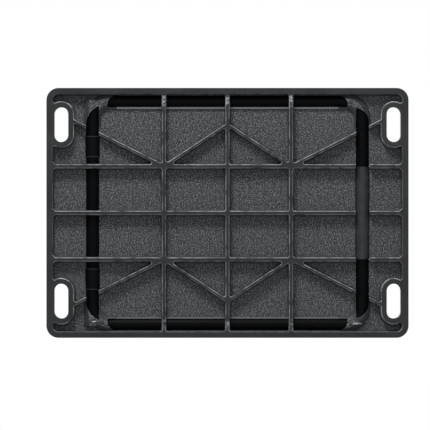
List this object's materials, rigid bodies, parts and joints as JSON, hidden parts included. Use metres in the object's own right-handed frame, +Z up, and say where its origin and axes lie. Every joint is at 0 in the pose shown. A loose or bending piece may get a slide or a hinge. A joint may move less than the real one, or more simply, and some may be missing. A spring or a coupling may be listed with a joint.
{
  "type": "manhole cover",
  "caption": "Rectangular cast iron access cover, ribbed underneath, with a slot near each corner and a lifting bail folded flat into a groove in its floor",
  "frame": {"origin": "centre of the outline, on the plane of the rim's lower edge, which is the seat in the frame", "axes": "X across the short side, Y along the long side towards the grip, Z up through the tread face"},
  "size_m": [0.414, 0.6, 0.038],
  "materials": {
    "painted_iron": "dark grey painted sand casting",
    "bail_coat": "black powder coat",
    "grip_polymer": "smooth mid grey",
    "bush_polymer": "black moulded",
    "strap_steel": "zinc plated",
    "screw_steel": "zinc plated"
  },
  "bodies": {
    "cover": {"cover_casting": "painted_iron", "hinge_bush_a": "bush_polymer", "hinge_bush_b": "bush_polymer", "hinge_strap_a": "strap_steel", "hinge_strap_b": "strap_steel", "strap_screw_a1": "screw_steel", "strap_screw_a2": "screw_steel", "strap_screw_b1": "screw_steel", "strap_screw_b2": "screw_steel"},
    "bail": {"bail_hoop": "bail_coat", "bail_grip": "grip_polymer"}
  },
  "joints": [
    {"name": "bail_hinge", "type": "hinge", "parent": "cover", "child": "bail", "pos_m": [0, -0.2239, 0.0213], "axis": [1, 0, 0], "range_deg": [0, 95]}
  ]
}
